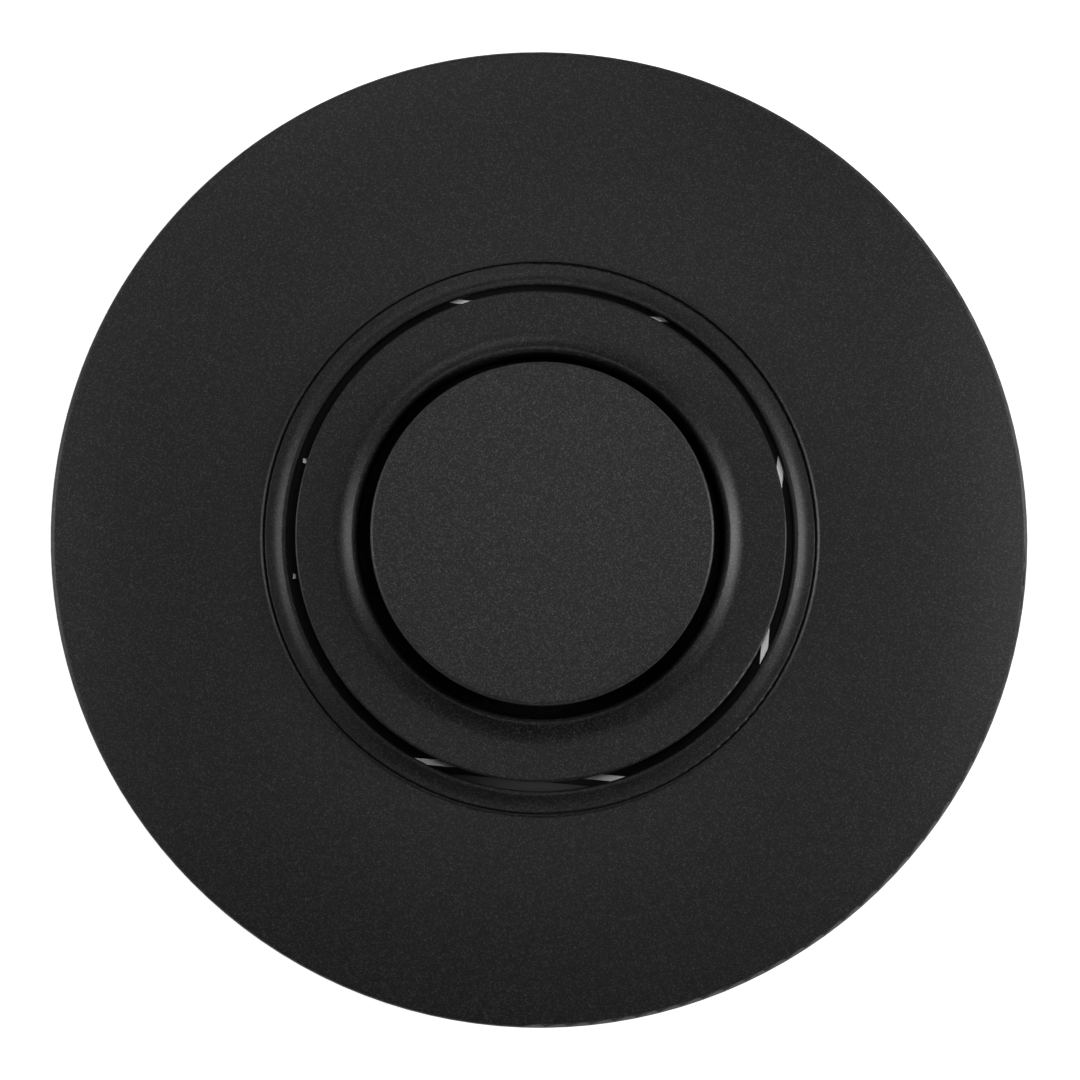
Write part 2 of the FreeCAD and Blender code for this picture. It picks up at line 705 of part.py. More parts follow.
# ---------------------------------------------------------------- discharge housing
def outlet_face(t_start, t_end, bore, hole_r):
    """A two-eared flange plate across the outlet, between two X stations."""
    half = outlet_bolt_pitch / 2
    round_part = rod_x(outlet_r + 7.2, t_start, t_end, 0, outlet_z)
    ears = [rod_x(8.5, t_start, t_end, y, outlet_z) for y in (-half, half)]
    bridge = box(t_start, t_end, -half, half, outlet_z - 8.5, outlet_z + 8.5)
    plate = joined([round_part] + ears + [bridge]).cut(rod_x(bore, t_start - 1, t_end + 1, 0, outlet_z))
    for y in (-half, half):
        plate = plate.cut(rod_x(hole_r, t_start - 1, t_end + 1, y, outlet_z))
    return plate


def discharge_housing():
    inner_r = housing_r - housing_t
    ledge_in = shredder_r + shredder_t + 0.5
    cup = turned(
        (inner_r, plate_top_z), (housing_foot_r, plate_top_z),
        (housing_foot_r, plate_top_z + housing_foot_t),
        (housing_r, plate_top_z + housing_foot_t), (housing_r, housing_top_z - joint_flange_t),
        (joint_flange_r, housing_top_z - joint_flange_t), (joint_flange_r, housing_top_z),
        (ledge_in, housing_top_z), (ledge_in, housing_top_z - 3.0), (inner_r, housing_top_z - 7.0),
    )
    ribs = []
    for i in range(12):
        deg = 30 * i
        rib = box(housing_r - 1, joint_flange_r - 0.4, -1.2, 1.2, plate_top_z + housing_foot_t - 1,
                  housing_top_z - joint_flange_t - 2.4)
        if abs((deg + 180) % 360 - 180) > 20:
            ribs.append(turn(rib, deg))
    pipe = rod_x(outlet_r + outlet_wall, inner_r - 1, outlet_face_x, 0, outlet_z)
    pipe = pipe.cut(disc(inner_r, plate_top_z, housing_top_z))
    ears = outlet_face(outlet_face_x - outlet_flange_t, outlet_face_x, outlet_r, outlet_bolt_r + SCREW_GAP)
    body = joined([cup] + ribs + [pipe, ears])
    body = body.cut(rod_x(outlet_r, 60, outlet_face_x + 1, 0, outlet_z))
    for x, y in housing_screw_places():
        body = body.cut(disc(2.5 + SCREW_GAP, plate_top_z - 1, plate_top_z + 20, x, y))
    write("discharge_housing", body)
    floor = ring(inner_r - SLIP_GAP, boss_r + 0.6, plate_top_z, plate_top_z + housing_t)
    write("housing_floor", floor)


def housing_screw_places():
    return [polar(housing_screw_circle_r, 45 + 90 * i) for i in range(4)]


def outlet_fittings():
    gasket_x = outlet_face_x + outlet_gasket_t
    plate_x = gasket_x + outlet_plate_t
    gasket = rod_x(outlet_r + 7.0, outlet_face_x, gasket_x, 0, outlet_z)
    gasket = gasket.cut(rod_x(outlet_r + 1.5, outlet_face_x - 1, gasket_x + 1, 0, outlet_z))
    write("outlet_gasket", gasket)
    write("outlet_flange", outlet_face(gasket_x, plate_x, outlet_r + 2.2, outlet_bolt_r + SCREW_GAP))
    bolts = []
    for y in (-outlet_bolt_pitch / 2, outlet_bolt_pitch / 2):
        shank = rod_x(outlet_bolt_r, outlet_face_x - outlet_flange_t - 3.5, plate_x, y, outlet_z)
        head = hexagon(8.5, 0, 3.4)
        head.rotate(Vec(0, 0, 0), Vec(0, 1, 0), 90)
        head.translate(Vec(plate_x, y, outlet_z))
        nut = hexagon(8.5, 0, 3.0)
        nut.rotate(Vec(0, 0, 0), Vec(0, 1, 0), 90)
        nut.translate(Vec(outlet_face_x - outlet_flange_t - 3.0, y, outlet_z))
        bolts.append(joined([shank, head, nut]))
    write("outlet_bolts", *bolts)


def container_joint():
    inner = shredder_r + shredder_t + shredder_flange_w + 0.4
    gasket = ring(joint_flange_r, inner, housing_top_z, container_z)
    write("container_gasket", gasket)
    low = housing_top_z - joint_flange_t
    high = container_z + joint_flange_t
    r_in = joint_flange_r + SLIP_GAP
    band = turned(
        (r_in, low - 0.1), (housing_r + 1.0, low - 0.1), (housing_r + 1.0, low - 1.6),
        (r_in + band_t, low - 1.6),
        (r_in + band_t, high + 1.6), (housing_r + 1.5, high + 1.6), (housing_r + 1.5, high + 0.1),
        (r_in, high + 0.1),
    )
    ear = box(r_in + 0.4, r_in + 13.0, 3.0, 6.0, low + 0.2, high - 0.2)
    band = band.cut(box(60, 110, -3.0, 3.0, low - 10, high + 10))
    mirror_ear = ear.mirror(Vec(0, 0, 0), Vec(0, 1, 0))
    band = joined([band, ear, mirror_ear])
    bolt_x = r_in + 7.4
    bolt_z = (low + high) / 2
    hole = Part.makeCylinder(2.1, 40, Vec(bolt_x, -20, bolt_z), Vec(0, 1, 0))
    band = band.cut(hole)
    write("clamp_band", turn(band, 125.0))
    bolt = Part.makeCylinder(2.0, 21.0, Vec(bolt_x, -10, bolt_z), Vec(0, 1, 0))
    head = Part.makeCylinder(3.6, 3.0, Vec(bolt_x, 6.0, bolt_z), Vec(0, 1, 0))
    nut = Part.makeCylinder(3.6, 3.0, Vec(bolt_x, -9.0, bolt_z), Vec(0, 1, 0))
    write("clamp_bolt", turn(joined([bolt, head, nut]), 125.0))


# ---------------------------------------------------------------- motor
def bolt_places():
    return [polar(bolt_circle_r, 45 + 90 * i) for i in range(4)]


def base_plate():
    bush_r = shaft_r + bush_wall
    bush_z = plate_top_z - bush_h
    boss_top = plate_top_z + 10.0
    rim_low = core_top_z
    rim_in = stator_r - 3.0
    plate = turned(
        (bush_r, bush_z), (boss_r, bush_z), (boss_r, motor_h), (rim_in + 1, motor_h), (rim_in + 1, rim_low),
        (stator_r + 3, rim_low), (stator_r + 3, motor_h), (base_r, motor_h), (base_r, plate_top_z),
        (boss_r, plate_top_z), (boss_r, boss_top), (shaft_r + 7.0, boss_top), (shaft_r + 7.0, boss_top - 6.0),
        (bush_r, boss_top - 6.0),
    )
    rib = box(boss_r - 1, rim_in + 2, -2, 2, motor_h - 8, motor_h + 1)
    boss = disc(6.0, motor_h - 8.0, motor_h + 1)
    parts = [plate] + round_copies(rib, 8, 22.5)
    for x, y in bolt_places() + housing_screw_places():
        one = boss.copy()
        one.translate(Vec(x, y, 0))
        parts.append(one)
    plate = joined(parts)
    for x, y in bolt_places():
        plate = plate.cut(disc(through_bolt_r + SCREW_GAP, rim_low - 1, motor_h + 1, x, y))
    for x, y in housing_screw_places():
        plate = plate.cut(disc(2.5 + SCREW_GAP, motor_h - 7, plate_top_z + 1, x, y))
    write("base_plate", plate)
    screws = [capscrew(4.5, 3.2, 2.5, plate_top_z + housing_foot_t + 3.2, motor_h - 6.5, x, y)
              for x, y in housing_screw_places()]
    write("housing_screws", *screws)


def shaft_parts():
    hub_z = table_z - 8.0
    top = table_z + table_t + 8.6
    bearing_top = bearing_z + bearing_w
    shaft = turned(
        (0, shaft_bottom_z), (shaft_tail_r - 0.5, shaft_bottom_z), (shaft_tail_r, shaft_bottom_z + 0.5),
        (shaft_tail_r, bearing_top), (shaft_r, bearing_top), (shaft_r, hub_z), (shaft_tip_r, hub_z),
        (shaft_tip_r, top - 0.6), (shaft_tip_r - 0.6, top), (0, top),
    )
    shaft = shaft.cut(hexagon(hex_socket_af, shaft_bottom_z - 1, shaft_bottom_z + hex_socket_depth))
    write("motor_shaft", shaft)
    bush_r = shaft_r + bush_wall
    write("upper_bush", ring(bush_r, shaft_r + RUN_GAP, plate_top_z - bush_h, plate_top_z))
    seal_top = plate_top_z + 10.0
    seal = ring(shaft_r + 7.0, shaft_r + RUN_GAP, seal_top - 6.0, seal_top)
    seal = seal.cut(ring(shaft_r + 4.4, shaft_r + 1.6, seal_top - 2.6, seal_top + 1))
    write("shaft_seal", seal)
    slinger = turned(
        (shaft_r, seal_top + 0.9), (boss_r + 0.6, seal_top + 0.9), (boss_r + 1.6, seal_top - 3.5),
        (boss_r + 3.4, seal_top - 3.5), (boss_r + 2.0, seal_top + 2.6), (shaft_r, seal_top + 4.4),
    )
    write("water_slinger", slinger)


def rotor():
    core = ring(rotor_r, shaft_r, core_bottom_z, core_top_z)
    groove = box(rotor_r - 1.2, rotor_r + 1, -0.6, 0.6, core_bottom_z - 1, core_top_z + 1)
    for one in round_copies(groove, 22):
        core = core.cut(one)
    write("rotor_core", core)
    rings = []
    for z0 in (core_bottom_z - end_ring_h, core_top_z):
        shape = ring(end_ring_r, shaft_r + 12, z0, z0 + end_ring_h)
        fin_z = z0 - fin_h if z0 < core_bottom_z else z0 + end_ring_h - 1
        fin = box(shaft_r + 14, end_ring_r - 2, -1, 1, fin_z, fin_z + fin_h + 1)
        rings.append(joined([shape] + round_copies(fin, 8)))
    write("rotor_end_rings", *rings)


def stator():
    bore = rotor_r + AIR_GAP
    core = ring(stator_r, bore, core_bottom_z, core_top_z)
    for x, y in bolt_places():
        core = core.cut(disc(through_bolt_r + SCREW_GAP, core_bottom_z - 1, core_top_z + 1, x, y))
    mouth = box(bore - 1, bore + 1.6, -0.9, 0.9, core_bottom_z - 1, core_top_z + 1)
    for one in round_copies(mouth, 24):
        core = core.cut(one)
    write("stator_core", core)
    coils = []
    for z0, away in ((core_top_z, 1), (core_bottom_z, -1)):
        z1 = z0 + away * winding_h
        bulge = 2.0
        coil = turned(
            (winding_r_in, z0), (winding_r_out, z0),
            (winding_r_out + bulge, (z0 + z1) / 2, winding_r_out - 1, z1),
            (winding_r_in + 1.5, z1), (winding_r_in + 0.6, (z0 + z1) / 2),
        )
        coils.append(coil)
    write("stator_windings", *coils)
    tip = motor_h - 2.0
    head_z = bell_seat_z() - 3.5
    write("through_bolts", *[capscrew(4.5, 3.5, through_bolt_r, head_z, tip, x, y) for x, y in bolt_places()])


def bell_seat_z():
    return bearing_z + bearing_w


def lower_end_bell():
    floor = bell_seat_z()
    floor_top = floor + bell_floor_t
    seat_r = bearing_r
    rim_r = stator_r + 3
    bell = turned(
        (seat_r, bearing_z), (seat_r + 4, bearing_z), (seat_r + 4, floor), (rim_r - 3, floor),
        (rim_r, floor + 3), (rim_r, core_bottom_z), (rim_r - bell_rim_t, core_bottom_z),
        (rim_r - bell_rim_t, floor_top), (seat_r - 5, floor_top), (seat_r - 5, floor), (seat_r, floor),
    )
    window = sector(rim_r + 5, rim_r - 12, floor_top + 4, core_bottom_z - 5, 0, 16)
    for one in round_copies(window, 4):
        bell = bell.cut(one)
    pads = []
    for x, y in bolt_places():
        pads.append(disc(4.6, floor + 1, core_bottom_z, x, y).common(disc(rim_r, 0, 200)))
    for x, y in bottom_screw_places():
        pads.append(disc(4.2, floor_top_z + 3.0, floor + 1, x, y))
    bell = joined([bell] + pads)
    for x, y in bolt_places():
        bell = bell.cut(disc(through_bolt_r + SCREW_GAP, floor - 1, core_bottom_z + 1, x, y))
    for x, y in bottom_screw_places():
        bell = bell.cut(disc(1.8 + SCREW_GAP, floor_top_z, floor + 2.6, x, y))
    write("lower_end_bell", bell)


def bearing():
    top = bearing_z + bearing_w
    mid_z = (bearing_z + top) / 2
    outer_in = bearing_r - race_t
    inner_out = shaft_tail_r + race_t
    track_r = (outer_in + inner_out) / 2
    track = Part.makeTorus(track_r, ball_r + RUN_GAP, Vec(0, 0, mid_z))
    write("bearing_outer_race", ring(bearing_r, outer_in, bearing_z, top).cut(track))
    write("bearing_inner_race", ring(inner_out, shaft_tail_r, bearing_z, top).cut(track))
    ball = Part.makeSphere(ball_r, Vec(track_r, 0, mid_z))
    cage = ring(track_r + 0.7, track_r - 0.7, mid_z - 2.6, mid_z + 2.6)
    write("bearing_balls", joined([cage] + round_copies(ball, ball_count)))


def governor():
    top = core_bottom_z - end_ring_h - fin_h - 0.4
    hub = ring(17.0, shaft_r, top - 3.6, top)
    weight = box(11.0, 24.0, -5.0, 5.0, top - 3.6, top - 0.5)
    write("governor_weights", joined([hub] + round_copies(weight, 2)))
    base = bell_seat_z() + bell_floor_t
    low = base + 1.2
    collar_top = top - 3.6 - governor_travel - 0.4
    collar = turned(
        (shaft_r + RUN_GAP, low), (16.0, low), (16.0, low + 1.6), (11.5, low + 1.6), (11.5, collar_top),
        (shaft_r + RUN_GAP, collar_top),
    )
    write("governor_collar", collar)
    switch = box(20.0, 36.0, -9.0, 9.0, base, base + 4.4)
    contact = box(13.0, 22.0, -2.5, 2.5, base, base + 0.9)
    write("start_switch", joined([switch, contact]))


# ---------------------------------------------------------------- lower shell and base
def bottom_screw_places():
    return [polar(bottom_screw_circle_r, 90 + 120 * i) for i in range(3)]


def lower_shell():
    wall_in = shell_r - shell_t
    edge_mid = on_arc(shell_r - 1.0, plate_top_z + 1.0, 1.0, 45)
    shell = turned(
        (wall_in, shell_bottom_z), (shell_r - 0.5, shell_bottom_z), (shell_r, shell_bottom_z + 0.5),
        (shell_r, plate_top_z + 1.0), (*edge_mid, shell_r - 1.0, plate_top_z + 2.0),
        (shell_lip_r, plate_top_z + 2.0), (shell_lip_r, plate_top_z), (wall_in, plate_top_z),
    )
    groove = ring(shell_r + 1, shell_r - 0.7, plate_top_z - 6.0, plate_top_z - 4.8)
    shell = shell.cut(groove)
    write("lower_shell", shell)
    write("lower_foam", ring(wall_in - SLIP_GAP, wall_in - foam_t, floor_top_z + base_wall_h, motor_h - 9.0))


def bottom_cover():
    wall_in = base_r - base_wall_t
    edge_mid = on_arc(base_r - base_edge_r, floor_z + base_edge_r, base_edge_r, -45)
    cover = turned(
        (0, floor_z), (foot_r_in, floor_z), (foot_r_in, 0), (foot_r_out, 0), (foot_r_out, floor_z),
        (base_r - base_edge_r, floor_z), (*edge_mid, base_r, floor_z + base_edge_r),
        (base_r, floor_z + base_wall_h), (wall_in, floor_z + base_wall_h), (wall_in, floor_top_z),
        (0, floor_top_z),
    )
    tower = ring(4.2, 0.5, floor_top_z - 1, floor_top_z + 2.8)
    towers = []
    for x, y in bottom_screw_places():
        one = tower.copy()
        one.translate(Vec(x, y, 0))
        towers.append(one)
    guide = ring(button_r + 2.0, button_r + SLIP_GAP, floor_top_z - 1, floor_top_z + 4.0, button_x, button_y)
    cover = joined([cover, guide] + towers)
    cover = cover.cut(disc(wrench_hole_r, 0, floor_top_z + 5))
    cover = cover.cut(disc(button_r + SLIP_GAP, 0, floor_top_z + 6, button_x, button_y))
    cover = cover.cut(disc(entry_r, 0, floor_top_z + 6, entry_x, entry_y))
    for x, y in bottom_screw_places():
        cover = cover.cut(disc(1.8 + SCREW_GAP, 0, floor_top_z + 6, x, y))
        cover = cover.cut(disc(3.9, 0, floor_z + screw_sink + 0.1, x, y))
    cover = cover.cut(box(
        wiring_x - wiring_half_x - SLIP_GAP, wiring_x + wiring_half_x + SLIP_GAP,
        wiring_y - wiring_half_y - SLIP_GAP, wiring_y + wiring_half_y + SLIP_GAP,
        floor_z - 1, floor_top_z + 1,
    ))
    for one in round_copies(box(30, 40, -1.5, 1.5, 0, floor_top_z + 5), 10, 48):
        if abs(math.atan2(one.CenterOfMass.y, one.CenterOfMass.x)) < math.radians(140):
            cover = cover.cut(one)
    write("bottom_cover", cover)
    head_z = floor_z + screw_sink - 2.4
    screws = [capscrew(3.6, 2.4, 1.8, head_z, bell_seat_z() + 1.0, x, y) for x, y in bottom_screw_places()]
    write("bottom_screws", *screws)


def wiring_parts():
    plate = box(wiring_x - wiring_half_x, wiring_x + wiring_half_x, wiring_y - wiring_half_y,
                wiring_y + wiring_half_y, floor_z, floor_z + 1.2)
    plate = plate.makeFillet(3.0, [e for e in plate.Edges if abs(e.Vertexes[0].Z - e.Vertexes[1].Z) > 1])
    rim = box(wiring_x - wiring_half_x + 1, wiring_x + wiring_half_x - 1, wiring_y - wiring_half_y + 1,
              wiring_y + wiring_half_y - 1, floor_z + 1.0, floor_top_z + 1.5)
    rim = rim.cut(box(
        wiring_x - wiring_half_x + 2.6, wiring_x + wiring_half_x - 2.6,
        wiring_y - wiring_half_y + 2.6, wiring_y + wiring_half_y - 2.6, floor_z, floor_top_z + 3,
    ))
    tower = disc(3.4, floor_z + 1.0, floor_top_z + 4.0, wiring_x, wiring_y)
    plate = joined([plate, rim, tower])
    plate = plate.cut(disc(1.8 + SCREW_GAP, floor_z - 1, floor_top_z + 6, wiring_x, wiring_y))
    write("wiring_cover", plate)
    write("wiring_screw", capscrew(3.4, 2.0, 1.8, floor_z - 2.0, floor_top_z + 9.0, wiring_x, wiring_y))
    block_z = floor_top_z + 4.0
    block = box(wiring_x - 9.0, wiring_x + 9.0, wiring_y - 12.0, wiring_y + 12.0, block_z, block_z + 9.0)
    for y in (-8.0, 8.0):
        block = block.cut(disc(2.2, block_z + 5.0, block_z + 10, wiring_x, wiring_y + y))
    block = block.cut(disc(1.8 + SCREW_GAP, block_z - 1, block_z + 6, wiring_x, wiring_y))
    write("terminal_block", block)


def overload():
    low = floor_top_z + 4.0 + 0.4
    case = box(button_x - 12.0, button_x + 12.0, button_y - 9.0, button_y + 9.0, low + 3.0, low + 19.0)
    case = case.makeFillet(2.0, [e for e in case.Edges if abs(e.Vertexes[0].Z - e.Vertexes[1].Z) > 1])
    neck = ring(button_r + 2.0, 4.6, low - 0.4, low + 3.5, button_x, button_y)
    well = disc(4.6, low - 1, low + 12, button_x, button_y)
    write("overload_protector", joined([case, neck]).cut(well))
    face_z = floor_z - 2.0
    button = joined([
        disc(button_r, face_z + 0.8, floor_top_z + 1.0, button_x, button_y),
        disc(button_r - 0.8, face_z, face_z + 1.0, button_x, button_y),
        disc(4.2, floor_top_z, low + 8.0, button_x, button_y),
    ])
    write("reset_button", button)


os.makedirs("parts", exist_ok=True)
stopper()
sink_flange()
clamp_stack()
mounting_plate()
lock_ring()
cushion_and_guard()
top_cover()
trim_collar()
upper_shell()
grind_container()
dishwasher_inlet()
shredder_ring()
turntable()
impellers()
discharge_housing()
outlet_fittings()
container_joint()
base_plate()
shaft_parts()
rotor()
stator()
lower_end_bell()
bearing()
governor()
lower_shell()
bottom_cover()
wiring_parts()
overload()
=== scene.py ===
import json
import math
import bpy
from mathutils import Matrix, Vector


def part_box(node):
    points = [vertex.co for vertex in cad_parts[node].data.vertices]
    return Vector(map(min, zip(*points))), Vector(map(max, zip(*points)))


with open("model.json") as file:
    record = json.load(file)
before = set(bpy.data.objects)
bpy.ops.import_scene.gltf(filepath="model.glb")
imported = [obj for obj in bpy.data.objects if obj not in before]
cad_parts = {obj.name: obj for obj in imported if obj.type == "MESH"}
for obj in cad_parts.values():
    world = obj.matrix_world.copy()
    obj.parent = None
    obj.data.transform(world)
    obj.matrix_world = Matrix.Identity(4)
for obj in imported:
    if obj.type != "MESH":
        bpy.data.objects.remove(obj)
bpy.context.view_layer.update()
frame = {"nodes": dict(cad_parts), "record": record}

nodes = frame["nodes"]
scene = bpy.context.scene
print("frame loaded:", len(nodes), "nodes")


# a Wire is one output in a material's nodes; an expression on Wires adds its Math nodes
class Wire:
    def __init__(self, finish, out):
        self.finish, self.out = finish, out

    def math(self, operation, *values):
        return self.finish.node("Math", {"operation": operation}, dict(enumerate(values)))

    def __add__(self, other): return self.math("ADD", self, other)
    def __radd__(self, other): return self.math("ADD", other, self)
    def __mul__(self, other): return self.math("MULTIPLY", self, other)
    def __rmul__(self, other): return self.math("MULTIPLY", other, self)
    def __pow__(self, other): return self.math("POWER", self, other)
    def sin(self): return self.math("SINE", self)
    def above(self, level): return self.math("GREATER_THAN", self, level)


class Finish:
    def __init__(self, name, base, roughness, metallic=0.0, **fixed):
        self.material = bpy.data.materials.new(name)
        self.material.use_nodes = True
        self.tree = self.material.node_tree
        self.tree.nodes.clear()
        self.shader = self.tree.nodes.new("ShaderNodeBsdfPrincipled")
        output = self.tree.nodes.new("ShaderNodeOutputMaterial")
        self.tree.links.new(self.shader.outputs["BSDF"], output.inputs["Surface"])
        self.material.diffuse_color = (*base, 1.0)
        self.set("Base Color", (*base, 1.0))
        self.set("Roughness", roughness)
        self.set("Metallic", metallic)
        for socket, value in fixed.items():
            self.set(socket.replace("_", " "), value)

    def set(self, socket, value):
        self.feed(self.shader.inputs[socket], value)

    def feed(self, socket, value):
        if isinstance(value, Wire):
            self.tree.links.new(value.out, socket)
        else:
            socket.default_value = value

    def node(self, kind, settings=None, values=None, output=0):
        node = self.tree.nodes.new("ShaderNode" + kind)
        for name, value in (settings or {}).items():
            setattr(node, name, value)
        for name, value in (values or {}).items():
            self.feed(node.inputs[name], value)
        return Wire(self, node.outputs[output])

    def place(self):
        return self.node("TexCoord", output="Object")

    def axes(self):
        split = self.tree.nodes.new("ShaderNodeSeparateXYZ")
        self.feed(split.inputs[0], self.place())
        return [Wire(self, out) for out in split.outputs]

    def noise(self, size, detail=2.0, stretch=(1, 1, 1), rough=0.5):
        spot = self.node("Mapping", {}, {"Vector": self.place(), "Scale": [s / size for s in stretch]})
        return self.node("TexNoise", {}, {"Vector": spot, "Scale": 1.0, "Detail": detail, "Roughness": rough})

    def cells(self, size):
        spot = self.node("Mapping", {}, {"Vector": self.place(), "Scale": [1 / size] * 3})
        return self.node("TexVoronoi", {"feature": "F1"}, {"Vector": spot, "Scale": 1.0}, "Color")

    def mix(self, factor, low, high):
        rgba = [(*c, 1.0) if isinstance(c, tuple) else c for c in (low, high)]
        node = self.tree.nodes.new("ShaderNodeMix")
        node.data_type = "RGBA"
        self.feed(node.inputs["Factor"], factor)
        self.feed(node.inputs[6], rgba[0])
        self.feed(node.inputs[7], rgba[1])
        return Wire(self, node.outputs[2])

    def bump(self, height, depth, strength, edge=None):
        values = {"Height": height, "Distance": depth, "Strength": strength}
        if edge:
            values["Normal"] = self.node("Bevel", {"samples": 4}, {"Radius": edge})
        return self.node("Bump", {}, values)


# the coated pieces that show from above: a dark base, a very fine grain and a few bright flakes
satinBlack = {
    "coverBlack": dict(base=(0.0138, 0.0138, 0.0142), roughness=0.44, grain=0.00022, sparkle=0.13, edge=0.0003),
    "flangeBlack": dict(base=(0.0095, 0.0095, 0.0099), roughness=0.40, grain=0.00022, sparkle=0.14, edge=0.0003),
    "stopperBlack": dict(base=(0.0215, 0.0215, 0.022), roughness=0.42, grain=0.00022, sparkle=0.20, edge=0.0003),
    "shellBlack": dict(base=(0.022, 0.022, 0.0225), roughness=0.46, grain=0.00030, sparkle=0.03, edge=0.0005),
}
satinGrain = {
    "cloud": 0.022, "cloudDark": 0.92, "cloudLight": 1.08, "cloudSpread": 0.03,
    "fineScale": 1.3, "fineSpread": 0.10, "below": 0.06,
    "flakeContrast": 5.0, "fineHeight": 0.6, "flakeHeight": 0.4, "depth": 0.00001,
}

# grain and cloud are the sizes of the fine and the broad pattern, in metres; smooth is the lowest
# roughness, and a spread is what a pattern adds to it; low and high are the broad pattern's two colours
looks = {
    "plateBlack": dict(
        # the lighter colour here is a painted highlight for the raised step's top
        base=(0.006, 0.006, 0.0062), paintedStepLightColour=(0.11, 0.11, 0.11), lighter=1.8, stepDepth=0.0004,
        roughness=0.55, smooth=0.49, spread=0.12, grain=0.0004, depth=0.00001, edge=0.0002),
    "housingBlack": dict(
        base=(0.030, 0.030, 0.031), low=(0.024, 0.024, 0.025), high=(0.040, 0.040, 0.041),
        roughness=0.55, smooth=0.47, spread=0.16, grain=0.0009, cloud=0.006, stretch=(1, 1, 0.25),
        depth=0.00004, edge=0.0005),
    "rubberBlack": dict(
        base=(0.018, 0.018, 0.018), low=(0.014, 0.014, 0.014), high=(0.030, 0.030, 0.029),
        roughness=0.72, smooth=0.62, spread=0.18, grain=0.0006, cloud=0.012, depth=0.00003, edge=0.0004),
    "slipSteel": dict(
        base=(0.90, 0.90, 0.90), low=(0.86, 0.86, 0.86), high=(0.92, 0.92, 0.92),
        roughness=0.30, smooth=0.27, spread=0.06, cloud=0.004),
    "steelBright": dict(
        base=(0.62, 0.62, 0.63), low=(0.50, 0.50, 0.51), high=(0.68, 0.68, 0.69),
        roughness=0.30, smooth=0.24, spread=0.16, fineSpread=0.06, grain=0.0005, cloud=0.008,
        depth=0.00001, edge=0.0003),
    "stainless": dict(
        base=(0.60, 0.60, 0.61), low=(0.52, 0.52, 0.53), high=(0.64, 0.64, 0.65),
        roughness=0.32, smooth=0.22, spread=0.16, cloudSpread=0.06, lines=9000.0, cloud=0.015,
        depth=0.000012, edge=0.0003),
    "castAlloy": dict(
        base=(0.50, 0.50, 0.51), low=(0.42, 0.42, 0.43), high=(0.56, 0.56, 0.57),
        roughness=0.48, smooth=0.40, spread=0.20, grain=0.0011, cloud=0.02, depth=0.00008, edge=0.0006),
    "coreSteel": dict(
        base=(0.20, 0.205, 0.22), low=(0.15, 0.155, 0.17), high=(0.27, 0.27, 0.28),
        roughness=0.42, smooth=0.36, spread=0.18, sheetHeight=0.0010, cloud=0.010, depth=0.00006),
    "copperWinding": dict(
        base=(0.42, 0.16, 0.06), low=(0.34, 0.11, 0.035), high=(0.52, 0.22, 0.08), metallic=0.85, coat=0.3,
        roughness=0.34, smooth=0.28, spread=0.16, cloud=0.006, depth=0.00025,
        outward=9200.0, upward=5200.0, waves=24.0, waveHeight=2.4),
}


def satinCoat(name, base, roughness, grain, sparkle, edge):
    look = satinGrain
    finish = Finish(name, base, roughness)
    speck = finish.node("SeparateColor", {}, {"Color": finish.cells(grain)})
    cloud = finish.noise(look["cloud"], 3.0)
    fine = finish.noise(grain * look["fineScale"], rough=0.7)
    flakes = speck ** look["flakeContrast"] * fine
    dark, light = (tuple(look[shade] * c for c in base) for shade in ("cloudDark", "cloudLight"))
    coat = finish.mix(cloud, dark, light)
    finish.set("Base Color", finish.mix(flakes, coat, tuple(c + sparkle for c in base)))
    level = roughness - look["below"]
    finish.set("Roughness", level + look["fineSpread"] * fine + look["cloudSpread"] * cloud)
    height = fine * look["fineHeight"] + speck * look["flakeHeight"]
    finish.set("Normal", finish.bump(height, look["depth"], 0.5, edge))
    return finish.material


# the mounting plate is dark, and the top of its one raised step carries a painted highlight: a lighter colour that
# stands in for light falling on it
def plateBlack():
    look = looks["plateBlack"]
    finish = Finish("plateBlack", look["base"], look["roughness"])
    height = finish.axes()[2]
    fine = finish.noise(look["grain"], 3.0)
    # painted highlight: the step's top face is coloured lighter to stand in for light falling on it
    paintedStepLight = height.above(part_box("upper_mounting_plate")[1].z - look["stepDepth"])
    dark = finish.mix(fine, look["base"], tuple(look["lighter"] * c for c in look["base"]))
    finish.set("Base Color", finish.mix(paintedStepLight, dark, look["paintedStepLightColour"]))
    finish.set("Roughness", look["smooth"] + look["spread"] * fine)
    finish.set("Normal", finish.bump(fine, look["depth"], 0.5, look["edge"]))
    return finish.material


def mouldedBlack():
    look = looks["housingBlack"]
    finish = Finish("housingBlack", look["base"], look["roughness"])
    fine = finish.noise(look["grain"], 4.0, rough=0.6)
    fibre = finish.noise(look["cloud"], stretch=look["stretch"])
    finish.set("Base Color", finish.mix(fibre, look["low"], look["high"]))
    finish.set("Roughness", look["smooth"] + look["spread"] * fine)
    finish.set("Normal", finish.bump(fine, look["depth"], 0.6, look["edge"]))
    return finish.material


def softRubber():
    look = looks["rubberBlack"]
    finish = Finish("rubberBlack", look["base"], look["roughness"])
    fine = finish.noise(look["grain"], 3.0)
    dust = finish.noise(look["cloud"], 4.0)
    finish.set("Base Color", finish.mix(dust, look["low"], look["high"]))
    finish.set("Roughness", look["smooth"] + look["spread"] * dust)
    finish.set("Normal", finish.bump(fine, look["depth"], 0.5, look["edge"]))
    return finish.material


def slipSteel():
    look = looks["slipSteel"]
    finish = Finish("slipSteel", look["base"], look["roughness"], 1.0)
    cloud = finish.noise(look["cloud"], 3.0)
    finish.set("Base Color", finish.mix(cloud, look["low"], look["high"]))
    finish.set("Roughness", look["smooth"] + look["spread"] * cloud)
    return finish.material


